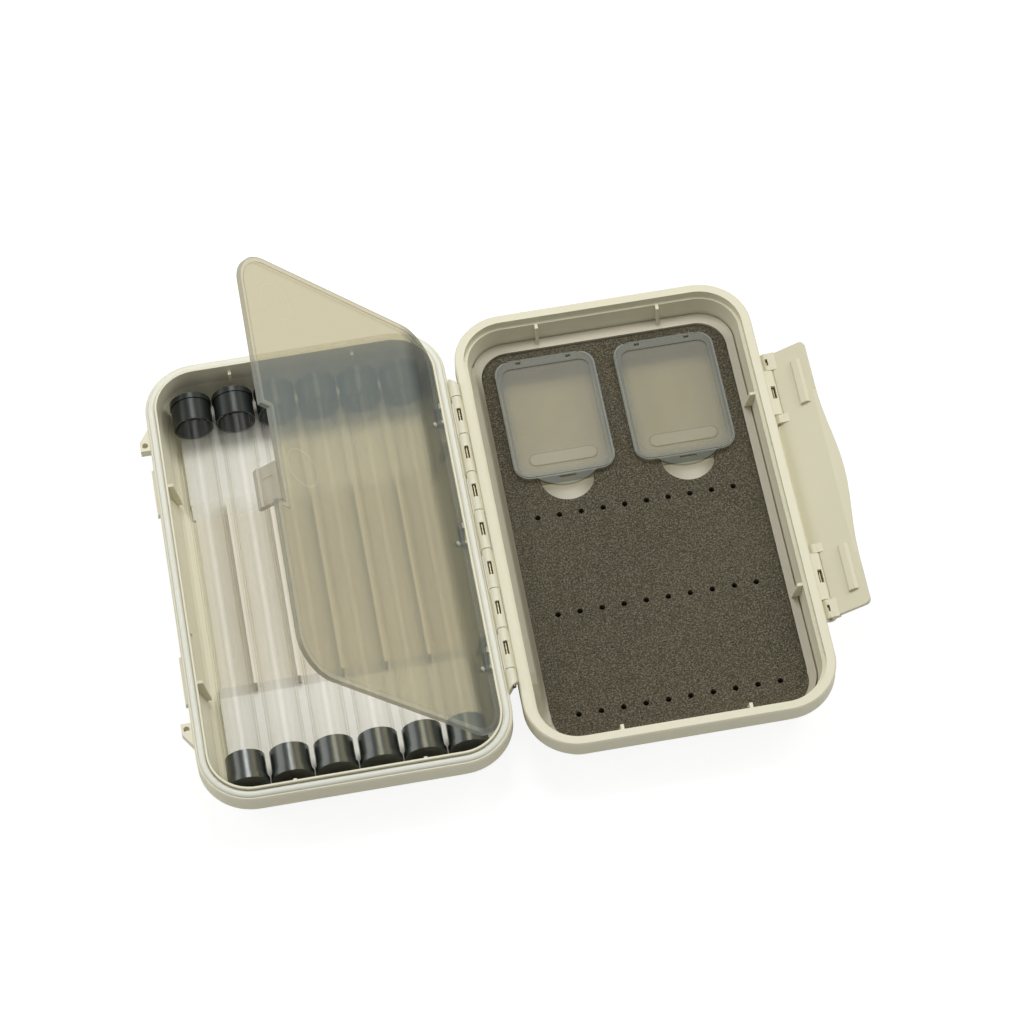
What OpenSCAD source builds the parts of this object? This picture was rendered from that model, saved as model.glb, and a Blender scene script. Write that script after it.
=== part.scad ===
// Fly box: two moulded half shells on a long barrel hinge, a swing leaf, six capped tubes,
// a slotted foam pad with two lidded compartments, and a bar latch on the free side.
// Millimetres. The origin is the centre of the base half's underside; +Z is up, the long
// sides run along Y, and the lid half lies open at +X.

/* [Case] */
// Width of one half across its rim
case_w = 94.8; // [86:0.2:104]
// Length of the case along the hinge
case_l = 155; // [148:0.5:170]
// Height of one half, underside to rim
half_h = 19.1; // [18.5:0.1:22]
// Plan radius of the rim's corners
corner_r = 16.5; // [15:0.25:20]
// Height of the thick band under the rim
skirt_h = 6.5; // [5:0.1:8]
// How far the body sits back under the band
skirt_step = 1.5; // [1:0.1:1.6]
// How far each side leans in from the band to the underside
wall_lean = 2.6; // [1.6:0.1:2.7]
// Wall thickness of the body
wall_t = 1.5; // [1.4:0.05:1.6]
// Thickness of each floor
floor_t = 2.2; // [1.8:0.1:2.4]
// Radius of the outer bottom edge
bottom_r = 6.2; // [5:0.1:6.3]
// Radius of the inner bottom edge
inner_r = 4.2; // [4.1:0.05:4.3]
// Small bevel on the outer rim edges
rim_bevel = 0.4; // [0.1:0.05:0.7]

/* [Rim and seal] */
// Distance from the rim's outside to the base's opening
opening_inset = 3.65; // [3.4:0.05:4]
// Thickness of the base's inner lip
lip_t = 0.6; // [0.4:0.05:0.75]
// Height of the base's inner lip over its rim
lip_h = 1.5; // [0.8:0.1:2]
// Distance from the rim's outside to the seal
seal_inset = 0.8; // [0.6:0.05:1]
// How far the seal sinks into its groove
seal_seat = 1.2; // [0.8:0.1:1.8]
// How far the seal stands over the rim
seal_proud = 0.75; // [0.4:0.05:1]
// Width of the lid's flat rim face
lid_rim_w = 2.9; // [2.6:0.05:3]
// Depth of the step inside the lid's rim
lid_step = 2.3; // [1.8:0.1:3]
// Distance from the rim's outside to the lid's inner wall
lid_inset = 4.05; // [3.9:0.05:4.4]
// Space left round the seal in its groove
seal_gap = 0.05; // [0.02:0.01:0.1]

/* [Main hinge] */
// Space between the two rims when the case lies open
hinge_gap = 3.3; // [3:0.1:4]
// Space that stays between the closed rims, filled by the seal
closed_gap = 0.8; // [0.75:0.05:1.2]
// Distance from the barrel's end to the start of the case's corner
hinge_end = 5; // [3:0.25:9]
// Radius of the hinge pin
pin_r = 0.8; // [0.6:0.05:0.9]
// Running clearance round a hinge pin
pin_gap = 0.06; // [0.03:0.01:0.1]
// Space between a knuckle and the other half
knuckle_gap = 0.1; // [0.06:0.01:0.2]
// Space between two knuckles along the pin
knuckle_side_gap = 0.15; // [0.1:0.01:0.3]
// Height of a knuckle's root on the band
knuckle_root = 3.2; // [2:0.1:4.5]
// Width of a pin window
window_w = 1.3; // [0.8:0.1:1.5]
// Length of a pin window
window_l = 4.7; // [3:0.1:7]

/* [Latch] */
// Length of the latch plate along the case
latch_l = 96.4; // [90:0.2:98]
// Reach of the plate from its pivot to its straight edge
latch_reach = 13.6; // [12.5:0.1:15]
// Extra reach of the thumb edge in the middle
thumb_bulge = 2.4; // [1:0.1:3]
// Half the length of the thumb edge along the case
thumb_half = 30; // [20:1:36]
// Thickness of the latch plate
latch_t = 1.2; // [1:0.1:1.5]
// Distance from the pivot's middle in to the plate's inner face
latch_seat = 0.5; // [0.3:0.05:0.7]
// Corner radius of the plate's outer edge
latch_corner = 1.7; // [1:0.1:4]
// Reach of the plate's middle past its pivot, where it stops by the lid's side
latch_tail = 1.69; // [1.2:0.01:1.69]
// Width of the thumb edge's bevel
thumb_bevel = 3.4; // [2:0.1:4]
// Depth of the thumb edge's bevel
thumb_bevel_d = 0.7; // [0.3:0.1:0.9]
// Radius of the latch barrel
latch_barrel_r = 1.65; // [1.5:0.05:1.8]
// Depth of the latch pivot under the rim
latch_drop = 3.2; // [3:0.1:4]
// Radius of a latch pin
latch_pin_r = 0.6; // [0.5:0.05:0.8]
// Distance from the middle to the inner end of a lid block
block_start = 25.5; // [24:0.1:27]
// Distance from the middle to the outer end of a lid block
block_end = 41.8; // [38:0.1:43]
// Length of the latch's inner knuckle
inner_knuckle = 3; // [2:0.1:5]
// Distance from the middle to a hook bar
bar_start = 26; // [24:0.5:28]
// Length of a hook bar
bar_l = 16; // [12:0.5:17]
// Width of a hook bar
bar_w = 3.2; // [2.4:0.1:3.6]
// Space between a hook bar and the base's side when closed
bar_gap = 0.2; // [0.15:0.05:0.4]
// Depth of a catch ridge's top under the base's rim
ridge_drop = 1.2; // [0.8:0.1:2]
// Height of a catch ridge
ridge_h = 2.6; // [1.8:0.1:3]
// How far a catch ridge stands out
ridge_out = 0.75; // [0.4:0.05:0.9]
// Angle of the latch plate from closed, as it rests
latch_rest = 63; // [40:1:90]

/* [Lanyard lugs] */
// Space between a lug's flat end and the closed latch
lug_gap = 0.25; // [0.2:0.05:2]
// Length of a lug's outer edge
lug_tip = 3.2; // [2.8:0.1:4]
// Length of a lug where it meets the side
lug_root = 7.8; // [6:0.1:9]
// How far a lug stands out
lug_out = 3.1; // [2.9:0.1:4]
// Thickness of a lug
lug_t = 3; // [2:0.1:4]
// Radius of the lanyard hole
lug_hole_r = 0.95; // [0.8:0.05:1]

/* [Wall ribs] */
// Thickness of a wall rib
rib_t = 1; // [0.8:0.1:1.4]
// Distance of the long sides' ribs from the middle
side_rib_y = 35; // [32:0.5:37]
// Distance of the short ends' ribs from the middle
end_rib_x = 19.5; // [18:0.5:21]
// How far a rib stands in at its top
rib_top = 1.7; // [1.2:0.1:1.9]
// How far a rib stands in at its foot
rib_foot = 3.4; // [2.4:0.1:4.4]

/* [Swing leaf] */
// Distance of the leaf's pivot inside the opening's edge
leaf_pivot_in = 1.2; // [1.1:0.05:1.6]
// Depth of the leaf's pivot under the rim
leaf_pivot_drop = 0.6; // [0.5:0.05:0.9]
// Space between the leaf and the opening's free side
leaf_side_gap = 0.6; // [0.5:0.05:1]
// Space between the leaf and the opening's ends
leaf_end_gap = 0.85; // [0.7:0.05:1.2]
// Height of the leaf's underside over its pivot
leaf_lift = 0.6; // [0.5:0.05:0.7]
// Distance of the leaf's hinge edge out from its pivot
leaf_start = 0.6; // [0.5:0.05:1]
// Thickness of the leaf's panel
leaf_t = 0.9; // [0.7:0.05:1]
// Width of the bead round the leaf
bead_w = 1.6; // [1.2:0.1:2.4]
// How far the bead stands over the panel
bead_h = 0.4; // [0.2:0.05:0.5]
// Corner radius of the leaf
leaf_r = 12; // [11:0.25:14]
// Width of the notch in the leaf's free edge
notch_l = 33; // [28:0.5:38]
// Depth of the notch in the leaf's free edge
notch_d = 3.7; // [3:0.1:4.5]
// Opening angle of the leaf as it rests
leaf_rest = 49.6; // [30:0.2:60]
// Distance between the leaf's pivots
leaf_pivot_pitch = 44; // [40:0.5:48]
// Length of a leaf knuckle
leaf_knuckle_l = 4; // [3:0.5:6]
// Radius of a leaf knuckle and of its ears
leaf_knuckle_r = 1.05; // [0.95:0.05:1.1]
// Radius of a leaf pin
leaf_pin_r = 0.5; // [0.4:0.05:0.55]
// Thickness of an ear beside a leaf knuckle
ear_t = 1.4; // [1:0.1:2]
// Width of the snap clip
clip_w = 13; // [10:0.5:15]
// Distance of the clip's middle from the leaf's middle, towards the near end
clip_offset = 9; // [4:0.5:9]
// Depth of the clip under the leaf
clip_h = 7.5; // [6:0.25:8]
// Thickness of the clip
clip_t = 1.3; // [1:0.1:1.4]
// How far the clip leans out at its foot
clip_lean = 2.2; // [1:0.1:2.4]

/* [Tubes] */
// Number of tubes
tube_count = 6; // [6:1:6]
// Space between the flanges of neighbouring tubes
tube_gap = 0.3; // [0.25:0.05:0.4]
// Space between the outer tubes' flanges and the wall's foot
row_side_gap = 2.05; // [1.8:0.05:3]
// Depth of the flanges' tops under the base's rim
tube_drop = 0.9; // [0.8:0.05:1.4]
// How far a flange stands out from its tube
flange_step = 1; // [0.9:0.05:1.2]
// Wall of a tube
tube_wall = 0.7; // [0.5:0.05:0.9]
// Space between a stopper's end and the wall's foot
stopper_gap = 4.1; // [3.4:0.1:6]
// Space between a cap's end and the wall's foot
cap_gap = 2.7; // [2.6:0.1:4]
// Length of a stopper
stopper_l = 9.4; // [7:0.1:12]
// Length of a flange
flange_l = 1.8; // [1.2:0.1:2.4]
// How far a stopper's body sits back under its flange
stopper_step = 0.3; // [0.15:0.05:0.5]
// How far a cap's body sits back under its flange
cap_step = 0.5; // [0.3:0.05:0.55]
// Length of a cap
cap_l = 9.6; // [8:0.1:12]
// Closed end of a cap or a stopper
cap_end_t = 3; // [2:0.1:4]
// Space between a tube's end and the closed end over it
tube_end_gap = 0.2; // [0.1:0.05:0.5]
// Fit between a tube and what closes it
tube_fit = 0.05; // [0.02:0.01:0.1]
// Length of a rest pad
pad_l = 35.5; // [30:0.5:38]
// Space between a rest pad's end and the wall's foot
pad_end_gap = 1.6; // [1.5:0.1:3]
// Space between a rest pad's side and the wall's foot
pad_side_gap = 3.7; // [2.8:0.1:4.5]
// Space between the tubes and the pads
rest_gap = 0.2; // [0.1:0.05:0.3]
// Thickness of a divider rib
divider_t = 0.9; // [0.6:0.05:1.2]
// Height of the divider ribs' tops over the floor
divider_h = 7; // [5:0.25:8]
// Thickness of the divider's plate
divider_plate = 0.7; // [0.5:0.1:1.2]
// Space between the divider's plate and the curve of the wall's foot
divider_side_gap = 0.4; // [0.3:0.1:2]
// Space between a divider rib and a rest pad
divider_end_gap = 1.3; // [0.5:0.1:5]

/* [Foam tray and foam] */
// Depth of the tray's ledge under the lid's rim
ledge_drop = 8.8; // [8:0.1:9.5]
// Depth of the foam's face under the lid's rim
foam_drop = 9.7; // [9:0.1:10.2]
// Width of the tray's ledge beside the foam
ledge_w = 2.75; // [2:0.05:4]
// Width of the tray's ledge at the foam's ends
ledge_end_w = 3.65; // [2.5:0.05:5]
// Corner radius of the foam
foam_r = 9; // [7:0.25:10]
// Wall of the foam tray
tray_t = 1.2; // [0.9:0.1:1.4]
// Height of the fine bead and bumps along the foam's hinge side
bead_rise = 0.35; // [0.2:0.05:0.5]
// Space between the foam and its tray
foam_gap = 0.15; // [0.1:0.05:0.3]
// Space between the tray and the lid's wall
tray_gap = 0.3; // [0.2:0.05:0.5]
// Rows of hook holes
hole_rows = 3; // [1:1:3]
// Hook holes in a row
holes_per_row = 10; // [2:1:10]
// Distance of a row's end holes from the foam's sides
hole_side = 8.4; // [4:0.1:12]
// Distance of the nearest row from the foam's near edge
row_edge = 6.1; // [4:0.1:9]
// Distance of the last row from the finger notches
row_gap = 4.8; // [2:0.1:8]
// Radius of a hook hole
hook_hole_r = 0.9; // [0.4:0.05:1]
// Depth of a hook hole
hook_hole_d = 3.5; // [2:0.1:4]

/* [Compartments] */
// Space between the two compartments' lids
comp_between = 6.2; // [3:0.1:8]
// Distance of the compartments' lids from the foam's far edge
comp_far_gap = 3.5; // [2:0.1:6]
// Width of a compartment's lid
comp_w = 32; // [29:0.2:33]
// Length of a compartment's lid
comp_l = 44.3; // [40:0.2:45]
// Corner radius of a compartment's lid
comp_r = 5.2; // [4:0.1:6]
// How far the lid reaches past the box
comp_over = 0.7; // [0.5:0.05:1]
// Wall of a compartment's box
comp_wall = 1; // [0.8:0.05:1.4]
// Floor of a compartment's box
comp_floor = 1; // [0.6:0.05:1.4]
// Height of the box's rim over the foam
comp_rise = 0.6; // [0.3:0.05:0.8]
// Thickness of a compartment's lid
comp_lid_t = 1.3; // [1.1:0.05:1.6]
// Space between a lid and its box
comp_gap = 0.1; // [0.05:0.05:0.2]
// Width of the border round a compartment's lid
comp_border = 2.1; // [1.4:0.1:2.5]
// Depth of the panel inside the border
comp_sink = 0.35; // [0.2:0.05:0.5]
// Distance of a hinge ear from the middle of its lid
comp_ear_x = 8; // [6:0.25:10]
// Width of a hinge ear
comp_ear_w = 1.3; // [1.2:0.1:3]
// Radius of a hinge ear
comp_ear_r = 0.65; // [0.6:0.05:0.7]
// Radius of a compartment lid's trunnion
trunnion_r = 0.3; // [0.25:0.05:0.35]
// Width of the pull tab
tab_w = 19; // [12:0.5:20]
// Reach of the pull tab
tab_l = 3.7; // [2:0.1:4.2]
// Length of the slot in the pull tab
tab_slot_l = 5.2; // [3:0.1:8]
// Width of the slot in the pull tab
tab_slot_w = 0.9; // [0.6:0.1:1.2]
// Distance of the slot from the lid's edge
tab_slot_edge = 0.5; // [0.3:0.1:2]
// Length of the raised oval on a compartment's lid
oval_l = 21.5; // [14:0.5:24]
// Width of the raised oval
oval_w = 4.4; // [3:0.1:5]
// Distance of the oval from the lid's near edge
oval_edge = 6.4; // [5.6:0.1:12]
// Height of the raised oval
oval_h = 0.25; // [0.15:0.05:0.3]
// Small step round a compartment lid's top edge
comp_step = 0.4; // [0.2:0.05:0.5]
// Radius of a finger notch in the foam
finger_r = 8.5; // [6:0.1:10]

/* [Hidden] */

$fn = 48;
// Small overlap that joins two pieces of one moulding
weld = 0.4;
// How far a cutter runs past the face it opens
past = 1;

// Hinge axis, lid middle and the pivots
hinge_x = case_w / 2 + hinge_gap / 2;
hinge_z = half_h + closed_gap / 2;
lid_x = 2 * hinge_x;
knuckle_r = hinge_gap / 2 - knuckle_gap;
knuckle_count = 7;
knuckle_pitch = (case_l - 2 * corner_r - 2 * hinge_end) / (knuckle_count + 1);
end_knuckle = knuckle_pitch / 2;
barrel_half = knuckle_count * knuckle_pitch / 2 + end_knuckle;

// Seal groove, from the lip and the seal's place
lip_out = opening_inset - lip_t;
seal_w = lip_out - seal_inset;

// Inner wall at its foot, from the outer wall and its lean
foot_inset = skirt_step + wall_lean + wall_t;
// The swept wall carries this much of the floor
floor_lap = 1;
wall_reach = max(foot_inset + inner_r, skirt_step + wall_lean + bottom_r) + floor_lap;
foot_z = floor_t + inner_r;
band_z = half_h - skirt_h;
// Distance of the inner wall from the rim's outside at a height
function wall_at(inset, z) = z > band_z ? inset
    : inset + (foot_inset - inset) * (band_z - z) / (band_z - foot_z);

// Latch pivot on the lid's free side
latch_x = lid_x + case_w / 2 + latch_barrel_r + knuckle_gap;
latch_z = half_h - latch_drop;
bar_top = latch_barrel_r + knuckle_gap - bar_gap;
bar_s = latch_drop + closed_gap + ridge_drop + ridge_h + bar_gap;
latch_cut = latch_barrel_r + knuckle_side_gap;
latch_face = -latch_seat;
plate_half = latch_l / 2 - 0.4;
inner_start = block_start - knuckle_side_gap - inner_knuckle;
lug_start = latch_l / 2 + lug_gap;

// Leaf pivot and size, measured from the base's opening
opening_half_w = case_w / 2 - opening_inset;
opening_half_l = case_l / 2 - opening_inset;
leaf_x = opening_half_w - leaf_pivot_in;
leaf_z = half_h - leaf_pivot_drop;
leaf_reach = leaf_x + opening_half_w - leaf_side_gap;
leaf_half_l = opening_half_l - leaf_end_gap;
leaf_ear_gap = 0.25;
leaf_notch_s = leaf_knuckle_r + 0.4;

// Pads, divider and tubes, measured from the wall's foot
foot_half_w = case_w / 2 - foot_inset;
foot_half_l = case_l / 2 - foot_inset;
pad_half_w = foot_half_w - pad_side_gap;
pad_end = foot_half_l - pad_end_gap;
pad_start = pad_end - pad_l;
divider_half_w = foot_half_w - inner_r - divider_side_gap;
divider_half_l = pad_start - divider_end_gap;
// The row of tubes fills the width between the walls, and its tops stay under the rim
row_half_w = foot_half_w - row_side_gap;
flange_r = (2 * row_half_w - (tube_count - 1) * tube_gap) / (2 * tube_count);
tube_r = flange_r - flange_step;
stopper_r = flange_r - stopper_step;
cap_r = flange_r - cap_step;
tube_pitch = 2 * flange_r + tube_gap;
tube_z = half_h - tube_drop - flange_r;
pad_top = tube_z - flange_r - rest_gap;
stopper_end = foot_half_l - stopper_gap;
cap_end = foot_half_l - cap_gap;
function tube_x(i) = (i - (tube_count + 1) / 2) * tube_pitch;
tube_far = stopper_end - cap_end_t - tube_end_gap;
tube_near = cap_end - cap_end_t - tube_end_gap;

// Heights in the lid
ledge_z = half_h - ledge_drop;
foam_z = half_h - foam_drop;
tray_under_z = floor_t + 1.9;
tray_floor_z = tray_under_z + tray_t;
ledge_inset = wall_at(lid_inset + 0.5, ledge_z - tray_t) + tray_gap;
foam_w = case_w - 2 * ledge_inset - 2 * ledge_w;
foam_l = case_l - 2 * ledge_inset - 2 * ledge_end_w;
comp_x = (comp_w + comp_between) / 2;
comp_y = foam_l / 2 - comp_far_gap - comp_l / 2;
hole_pitch = (foam_w - 2 * hole_side) / max(holes_per_row - 1, 1);
row_room = comp_y - comp_l / 2 - finger_r - row_gap + foam_l / 2 - row_edge;
row_pitch = row_room / max(hole_rows - 1, 1);
comp_rim_z = foam_z + comp_rise;
comp_lid_z = comp_rim_z + comp_gap;
comp_top_z = comp_lid_z + comp_lid_t;
comp_axis_y = comp_y + comp_l / 2 - comp_lid_t / 2;
comp_axis_z = comp_lid_z + comp_lid_t / 2;

// Colours
cream = [0.86, 0.84, 0.74];
white_pad = [0.92, 0.91, 0.86];
seal_white = [0.94, 0.94, 0.9];
smoke = [0.72, 0.7, 0.6, 0.5];
clear_plastic = [0.85, 0.88, 0.88, 0.35];
cap_black = [0.08, 0.08, 0.08];
foam_grey = [0.33, 0.3, 0.26];
steel = [0.7, 0.7, 0.72];

// Points of an arc about a centre, from one angle to another
function arc_points(cx, cy, r, a0, a1, n = 6) =
    [for (i = [0:n]) [cx + r * cos(a0 + (a1 - a0) * i / n), cy + r * sin(a0 + (a1 - a0) * i / n)]];

// Flat rounded rectangle, made of exact circles and squares
module rounded_rect(w, l, r) {
    square([w - 2 * r, l], center = true);
    square([w, l - 2 * r], center = true);
    for (sx = [-1, 1])
        for (sy = [-1, 1])
            translate([sx * (w / 2 - r), sy * (l / 2 - r)])
                circle(r);
}

module rounded_slab(w, l, r, z0, z1) {
    translate([0, 0, z0])
        linear_extrude(z1 - z0)
            rounded_rect(w, l, r);
}

// Sweeps a flat profile round a rounded rectangle. The profile's x is the distance out
// from the outline, and its y is the height.
module sweep_round(w, l, r) {
    for (i = [0:3]) {
        sx = i == 0 || i == 3 ? 1 : -1;
        sy = i < 2 ? 1 : -1;
        translate([sx * (w / 2 - r), sy * (l / 2 - r), 0])
            rotate([0, 0, 90 * i])
                rotate_extrude(angle = 90)
                    translate([r, 0])
                        children();
    }
    for (side = [0, 180])
        rotate([0, 0, side]) {
            translate([w / 2, 0, 0])
                rotate([90, 0, 0])
                    linear_extrude(l - 2 * r, center = true)
                        children();
            rotate([0, 0, 90])
                translate([l / 2, 0, 0])
                    rotate([90, 0, 0])
                        linear_extrude(w - 2 * r, center = true)
                            children();
        }
}

// Extrudes a profile drawn in X and Z between two places along Y
module along_y(y0, y1) {
    translate([0, y1, 0])
        rotate([90, 0, 0])
            linear_extrude(y1 - y0)
                children();
}

module rod_y(r, y0, y1) {
    along_y(y0, y1)
        circle(r);
}

// Outer side of both halves, from the rim's bevel down to the underside
function outer_side() = concat(
    [[-rim_bevel, half_h], [0, half_h - rim_bevel], [0, half_h - skirt_h + rim_bevel]],
    [[-rim_bevel, half_h - skirt_h], [-skirt_step, half_h - skirt_h]],
    arc_points(-skirt_step - wall_lean - bottom_r, bottom_r, bottom_r, 0, -90),
    [[-wall_reach, 0], [-wall_reach, floor_t]]
);

// Inner foot shared by both halves
function inner_foot() = arc_points(-foot_inset - inner_r, floor_t + inner_r, inner_r, -90, 0, 4);

module base_profile() {
    polygon(concat(
        outer_side(),
        inner_foot(),
        [[-opening_inset, half_h - skirt_h], [-opening_inset, half_h + lip_h]],
        [[-lip_out, half_h + lip_h], [-lip_out, half_h - seal_seat]],
        [[-seal_inset, half_h - seal_seat], [-seal_inset, half_h]]
    ));
}

module lid_profile() {
    polygon(concat(
        outer_side(),
        inner_foot(),
        [[-lid_inset - 0.5, half_h - skirt_h], [-lid_inset, half_h - lid_step]],
        [[-lid_rim_w, half_h - lid_step], [-lid_rim_w, half_h]]
    ));
}

module floor_plate() {
    inset = wall_reach - floor_lap;
    rounded_slab(case_w - 2 * inset, case_l - 2 * inset, corner_r - inset, 0, floor_t);
}

// Slanted rib on an inner wall, with its back in the wall
module wall_rib(inset, z0, z1) {
    rotate([90, 0, 0])
        linear_extrude(rib_t, center = true)
            polygon([
                [-inset + weld, z1], [-inset - rib_top, z1], [-inset - rib_foot, z0],
                [-wall_at(inset, z0) + weld, z0], [-inset + weld, band_z]
            ]);
}

module wall_ribs(inset, z0, z1) {
    for (side = [0, 180])
        rotate([0, 0, side]) {
            for (y = [-side_rib_y, side_rib_y])
                translate([case_w / 2, y, 0])
                    wall_rib(inset, z0, z1);
            rotate([0, 0, 90])
                for (x = [-end_rib_x, end_rib_x])
                    translate([case_l / 2, x, 0])
                        wall_rib(inset, z0, z1);
        }
}

// Knuckle section with its root in the band of the half at -X
module knuckle_section() {
    translate([hinge_x, hinge_z])
        circle(knuckle_r);
    polygon([
        [case_w / 2 - weld, half_h - knuckle_root], [hinge_x, hinge_z - knuckle_r],
        [hinge_x, hinge_z], [hinge_x - knuckle_r, hinge_z],
        [hinge_x - knuckle_r, half_h - rim_bevel], [case_w / 2 - weld, half_h - rim_bevel]
    ]);
}

// Knuckle with a window over the pin
module knuckle(y, bore_r) {
    y0 = y - knuckle_pitch / 2 + knuckle_side_gap;
    y1 = y + knuckle_pitch / 2 - knuckle_side_gap;
    difference() {
        along_y(y0, y1)
            knuckle_section();
        translate([hinge_x, 0, hinge_z])
            rod_y(bore_r, y0 - past, y1 + past);
        translate([hinge_x - window_w / 2, y - window_l / 2, hinge_z])
            cube([window_w, window_l, knuckle_r + past]);
    }
}

// Short end knuckle that closes the barrel and grips the pin
module end_knuckle_piece(side) {
    y_in = knuckle_count * knuckle_pitch / 2 + knuckle_side_gap;
    scale_side = side > 0 ? 0 : 1;
    mirror([0, scale_side, 0])
        difference() {
            along_y(y_in, barrel_half)
                knuckle_section();
            translate([hinge_x, 0, hinge_z])
                rod_y(pin_r, y_in - past, barrel_half - past);
            translate([hinge_x - knuckle_r, barrel_half, 0])
                rotate([0, 0, -40])
                    cube([3 * knuckle_r, 3 * knuckle_r, half_h * 2]);
        }
}

function knuckle_y(i) = (i - (knuckle_count - 1) / 2) * knuckle_pitch;

module catch_ridge(y0, y1) {
    z1 = half_h - ridge_drop;
    slope = ridge_out * 0.7;
    along_y(y0, y1)
        polygon([
            [-case_w / 2 + weld, z1], [-case_w / 2, z1], [-case_w / 2 - ridge_out, z1 - slope],
            [-case_w / 2 - ridge_out, z1 - ridge_h], [-case_w / 2 + weld, z1 - ridge_h]
        ]);
}

module lanyard_lug() {
    x0 = -case_w / 2 + weld;
    x1 = -case_w / 2 - lug_out;
    difference() {
        translate([0, 0, half_h - rim_bevel - lug_t])
            linear_extrude(lug_t)
                polygon([
                    [x0, lug_start], [x1, lug_start], [x1, lug_start + lug_tip],
                    [-case_w / 2, lug_start + lug_root], [x0, lug_start + lug_root]
                ]);
        translate([lug_hole_x, lug_hole_y, half_h - rim_bevel - lug_t - past])
            cylinder(r = lug_hole_r, h = lug_t + 2 * past);
    }
}
lug_hole_x = -case_w / 2 - lug_out / 2 + 0.05;
lug_hole_y = lug_start + lug_tip / 2 + 0.35;

// Ears on the base's inner side that carry the leaf's pins
module leaf_ear(y0, y1) {
    difference() {
        union() {
            translate([leaf_x, 0, leaf_z])
                rod_y(leaf_knuckle_r, y0, y1);
            along_y(y0, y1)
                polygon([
                    [leaf_x, leaf_z - leaf_knuckle_r], [leaf_x, leaf_z + leaf_knuckle_r],
                    [opening_half_w + weld, leaf_z + leaf_knuckle_r],
                    [opening_half_w + weld, leaf_z - 3 * leaf_knuckle_r]
                ]);
        }
        translate([leaf_x, 0, leaf_z])
            rod_y(leaf_pin_r, y0 - past, y1 + past);
    }
}

module leaf_ears() {
    inner = leaf_knuckle_l / 2 + knuckle_side_gap;
    for (i = [-1:1])
        for (side = [0, 1])
            translate([0, i * leaf_pivot_pitch, 0])
                mirror([0, side, 0])
                    leaf_ear(inner, inner + ear_t);
}

// Bump that the leaf's clip rubs past
module clip_bump() {
    bump_out = 0.6;
    bump_z = half_h - skirt_h;
    wall = -opening_half_w;
    along_y(-clip_offset - clip_w / 2, -clip_offset + clip_w / 2)
        polygon([
            [wall - weld, bump_z - 1.4], [wall, bump_z - 1.4],
            [wall + bump_out, bump_z], [wall, bump_z + 1.4], [wall - weld, bump_z + 1.4]
        ]);
}

module base_shell() {
    color(cream)
        union() {
            sweep_round(case_w, case_l, corner_r)
                base_profile();
            floor_plate();
            wall_ribs(opening_inset, pad_top + 1.5, half_h - past);
            for (i = [1:2:knuckle_count - 2])
                knuckle(knuckle_y(i), pin_r + pin_gap);
            end_knuckle_piece(1);
            end_knuckle_piece(-1);
            for (side = [0, 1])
                mirror([0, side, 0]) {
                    catch_ridge(bar_start - 0.6, bar_start + bar_l - 0.4);
                    lanyard_lug();
                }
            leaf_ears();
            clip_bump();
        }
}

module rim_seal() {
    seal_top = half_h + seal_proud;
    u0 = -lip_out + seal_gap;
    u1 = -seal_inset - seal_gap;
    crown = (u1 - u0) / 2;
    color(seal_white)
        sweep_round(case_w, case_l, corner_r)
            polygon(concat(
                [[u0, half_h - seal_seat], [u1, half_h - seal_seat]],
                [for (i = [0:8]) [
                    (u0 + u1) / 2 + crown * cos(i * 22.5),
                    half_h + seal_proud * sin(i * 22.5)
                ]]
            ));
}

module hinge_pin() {
    color(steel)
        translate([hinge_x, 0, hinge_z])
            rod_y(pin_r, -barrel_half + past, barrel_half - past);
}

// White pad that the tube ends lie on, set back at its foot
module rest_pad(side) {
    pad_r = 8;
    foot_r = 6.2;
    foot_back = 3.2;
    foot_h = 1.7;
    color(white_pad)
        mirror([0, side > 0 ? 0 : 1, 0])
            difference() {
                union() {
                    rounded_slab(2 * pad_half_w, 2 * pad_end, pad_r, floor_t + foot_h, pad_top);
                    rounded_slab(
                        2 * (pad_half_w - past), 2 * (pad_end - foot_back), foot_r,
                        floor_t, floor_t + foot_h + weld
                    );
                }
                translate([-case_w / 2, -case_l, 0])
                    cube([case_w, case_l + pad_start, half_h]);
            }
}

// Thin plate with the ribs that keep the tubes apart
module tube_divider() {
    color(cream)
        union() {
            translate([-divider_half_w, -pad_start, floor_t])
                cube([2 * divider_half_w, 2 * pad_start, divider_plate]);
            for (i = [1:tube_count - 1])
                translate([tube_x(i) + tube_pitch / 2 - divider_t / 2, -divider_half_l, floor_t])
                    cube([divider_t, 2 * divider_half_l, divider_h]);
        }
}

// The leaf is drawn closed, with s out from the pivot towards -X, then swung to its rest
module leaf_place() {
    translate([leaf_x, 0, leaf_z])
        rotate([0, leaf_rest, 0])
            children();
}

// Outline of the leaf about its pivot, grown inwards by d
module leaf_outline(d) {
    w = leaf_reach - leaf_start;
    difference() {
        translate([-leaf_start - w / 2, 0])
            rounded_rect(w - 2 * d, 2 * leaf_half_l - 2 * d, leaf_r - d);
        translate([-leaf_reach - past, -notch_l / 2 - d])
            square([past + notch_d + d, notch_l + 2 * d]);
    }
}

module leaf_panel() {
    notch_y = leaf_knuckle_l / 2 + knuckle_side_gap + ear_t + leaf_ear_gap;
    color(smoke)
        leaf_place()
            difference() {
                union() {
                    difference() {
                        leaf_sheet();
                        for (i = [-1:1])
                            translate([-leaf_notch_s, i * leaf_pivot_pitch - notch_y, -past])
                                cube([leaf_notch_s, 2 * notch_y, 2 * past + leaf_lift + leaf_t]);
                    }
                    for (i = [-1:1])
                        translate([0, i * leaf_pivot_pitch, 0])
                            leaf_knuckle();
                }
                for (i = [-1:1])
                    translate([0, i * leaf_pivot_pitch, 0])
                        rod_y(leaf_pin_r + pin_gap, -leaf_knuckle_l, leaf_knuckle_l);
            }
}

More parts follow.
